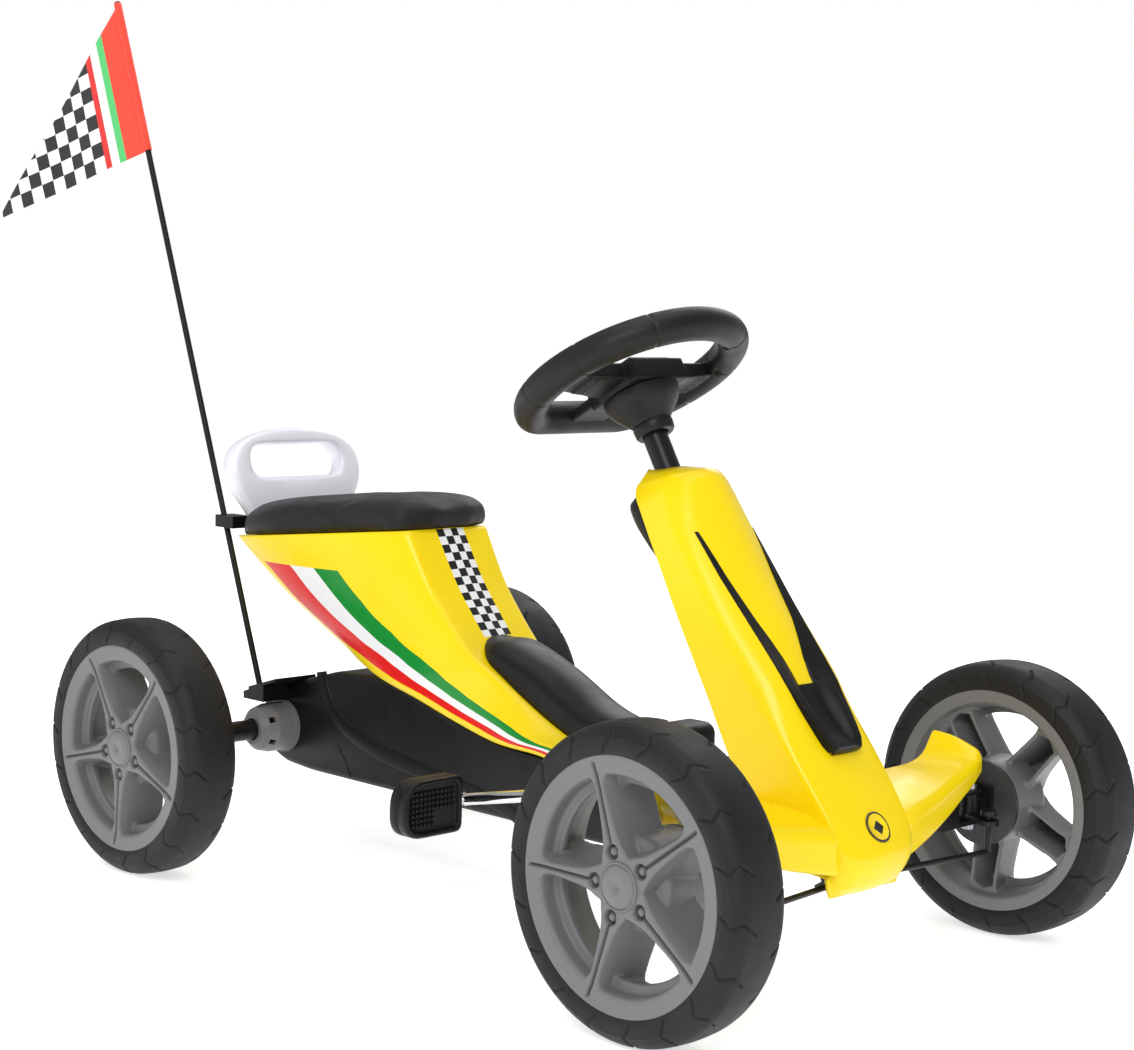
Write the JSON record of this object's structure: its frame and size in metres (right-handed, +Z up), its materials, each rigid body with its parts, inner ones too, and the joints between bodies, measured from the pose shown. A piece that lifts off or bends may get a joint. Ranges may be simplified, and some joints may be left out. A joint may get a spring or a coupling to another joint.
{
  "type": "pedal go kart",
  "caption": "Low four-wheel pedal kart for a child, with saddle seat on a chain case, chain-driven rear axle, wheel steering through tie rods, nose shield and a pennant on a pole.",
  "frame": {"origin": "on the floor under the middle of the overall length, on the centre line", "axes": "+X forward, +Y to the driver's left, +Z up"},
  "size_m": [1.189, 0.52, 0.847],
  "materials": {
    "tyre": "matt moulded foam",
    "wheel_plastic": "fine grain, satin",
    "hub_plate_plastic": "satin",
    "nylon": "satin",
    "black_steel": "powder coat",
    "zinc": "zinc plate",
    "chain_steel": "oiled",
    "chrome": "polished",
    "yellow_plastic": "glossy moulded",
    "black_plastic": "fine grain",
    "black_gloss": "satin gloss",
    "seat_plastic": "leather-like grain",
    "silver_paint": "satin metallic",
    "grip_plastic": "satin grain",
    "flag_cloth": "printed woven polyester"
  },
  "bodies": {
    "chassis": {"frame": "black_steel", "front_axle_beam": "black_steel", "kingpin_bolts": "zinc", "nylon_bushes": "nylon", "axle_bearings": "nylon", "bearing_cover_right": "wheel_plastic", "bearing_cover_left": "wheel_plastic", "housing_right": "black_plastic", "housing_left": "black_plastic", "housing_screws": "black_steel", "drive_chain": "chain_steel", "seat_shell": "yellow_plastic", "seat_pad": "seat_plastic", "grab_handle": "silver_paint", "spine_cover": "black_plastic", "fairing": "yellow_plastic", "fairing_insert": "black_gloss", "column_cover": "black_plastic", "front_wing_right": "yellow_plastic", "front_wing_left": "yellow_plastic", "flag_pole": "black_plastic", "flag": "flag_cloth", "flag_brackets": "black_plastic"},
    "steering": {"steering_column": "black_steel", "steering_rim": "grip_plastic", "steering_hub": "grip_plastic", "steering_bowl": "grip_plastic"},
    "knuckle_right": {"knuckle_right": "black_steel", "axle_nut_right": "zinc"},
    "tie_rod_right": {"tie_rod_right": "black_steel"},
    "wheel_front_right": {"front_right_tyre": "tyre", "front_right_rim": "wheel_plastic", "front_right_hub_cap": "wheel_plastic", "front_right_hub_plate": "hub_plate_plastic", "front_right_hub_bush": "nylon"},
    "knuckle_left": {"knuckle_left": "black_steel", "axle_nut_left": "zinc"},
    "tie_rod_left": {"tie_rod_left": "black_steel"},
    "wheel_front_left": {"front_left_tyre": "tyre", "front_left_rim": "wheel_plastic", "front_left_hub_cap": "wheel_plastic", "front_left_hub_plate": "hub_plate_plastic", "front_left_hub_bush": "nylon"},
    "rear_axle": {"rear_axle": "black_steel", "rear_axle_nuts": "zinc", "rear_sprocket": "zinc", "rear_right_tyre": "tyre", "rear_right_rim": "wheel_plastic", "rear_right_hub_cap": "wheel_plastic", "rear_right_hub_plate": "hub_plate_plastic", "rear_right_hub_bush": "nylon"},
    "wheel_rear_left": {"rear_left_tyre": "tyre", "rear_left_rim": "wheel_plastic", "rear_left_hub_cap": "wheel_plastic", "rear_left_hub_plate": "hub_plate_plastic", "rear_left_hub_bush": "nylon"},
    "crank": {"crank": "chrome", "chainring": "zinc"},
    "pedal_right": {"pedal_right": "black_plastic"},
    "pedal_left": {"pedal_left": "black_plastic"}
  },
  "joints": [
    {"name": "steering_turn", "type": "hinge", "parent": "chassis", "child": "steering", "pos_m": [0.2305, 0, 0.48], "axis": [0.506, 0, -0.8625], "range_deg": [-26, 26]},
    {"name": "knuckle_right_turn", "type": "hinge", "parent": "chassis", "child": "knuckle_right", "pos_m": [0.4745, -0.178, 0.12], "axis": [0, 0, -1], "range_deg": [-16.64, 16.64]},
    {"name": "tie_rod_right_turn", "type": "hinge", "parent": "steering", "child": "tie_rod_right", "pos_m": [0.48709, -0.009, 0.08613], "axis": [0.506, 0, -0.8625], "range_deg": [-29.12, 29.12]},
    {"name": "wheel_front_right_spin", "type": "hinge", "parent": "knuckle_right", "child": "wheel_front_right", "pos_m": [0.4745, -0.232, 0.12], "axis": [0, 1, 0], "continuous": true},
    {"name": "knuckle_left_turn", "type": "hinge", "parent": "chassis", "child": "knuckle_left", "pos_m": [0.4745, 0.178, 0.12], "axis": [0, 0, -1], "range_deg": [-16.64, 16.64]},
    {"name": "tie_rod_left_turn", "type": "hinge", "parent": "steering", "child": "tie_rod_left", "pos_m": [0.48709, 0.009, 0.08613], "axis": [0.506, 0, -0.8625], "range_deg": [-29.12, 29.12]},
    {"name": "wheel_front_left_spin", "type": "hinge", "parent": "knuckle_left", "child": "wheel_front_left", "pos_m": [0.4745, 0.232, 0.12], "axis": [0, 1, 0], "continuous": true},
    {"name": "rear_axle_spin", "type": "hinge", "parent": "chassis", "child": "rear_axle", "pos_m": [-0.1815, 0, 0.12], "axis": [0, 1, 0], "continuous": true},
    {"name": "wheel_rear_left_spin", "type": "hinge", "parent": "rear_axle", "child": "wheel_rear_left", "pos_m": [-0.1815, 0.223, 0.12], "axis": [0, 1, 0], "continuous": true},
    {"name": "crank_spin", "type": "hinge", "parent": "chassis", "child": "crank", "pos_m": [0.2312, 0, 0.126], "axis": [0, 1, 0], "continuous": true, "deforming": ["drive_chain"]},
    {"name": "pedal_right_spin", "type": "hinge", "parent": "crank", "child": "pedal_right", "pos_m": [0.1472, -0.155, 0.1088], "axis": [0, 1, 0], "continuous": true},
    {"name": "pedal_left_spin", "type": "hinge", "parent": "crank", "child": "pedal_left", "pos_m": [0.3152, 0.155, 0.1432], "axis": [0, 1, 0], "continuous": true}
  ],
  "couplings": [
    {"joint": "knuckle_right_turn", "follows": "steering_turn", "ratio": 0.64},
    {"joint": "knuckle_left_turn", "follows": "steering_turn", "ratio": 0.64},
    {"joint": "tie_rod_right_turn", "follows": "steering_turn", "ratio": -1.12},
    {"joint": "tie_rod_left_turn", "follows": "steering_turn", "ratio": -1.12},
    {"joint": "crank_spin", "follows": "rear_axle_spin", "ratio": 0.85714}
  ]
}
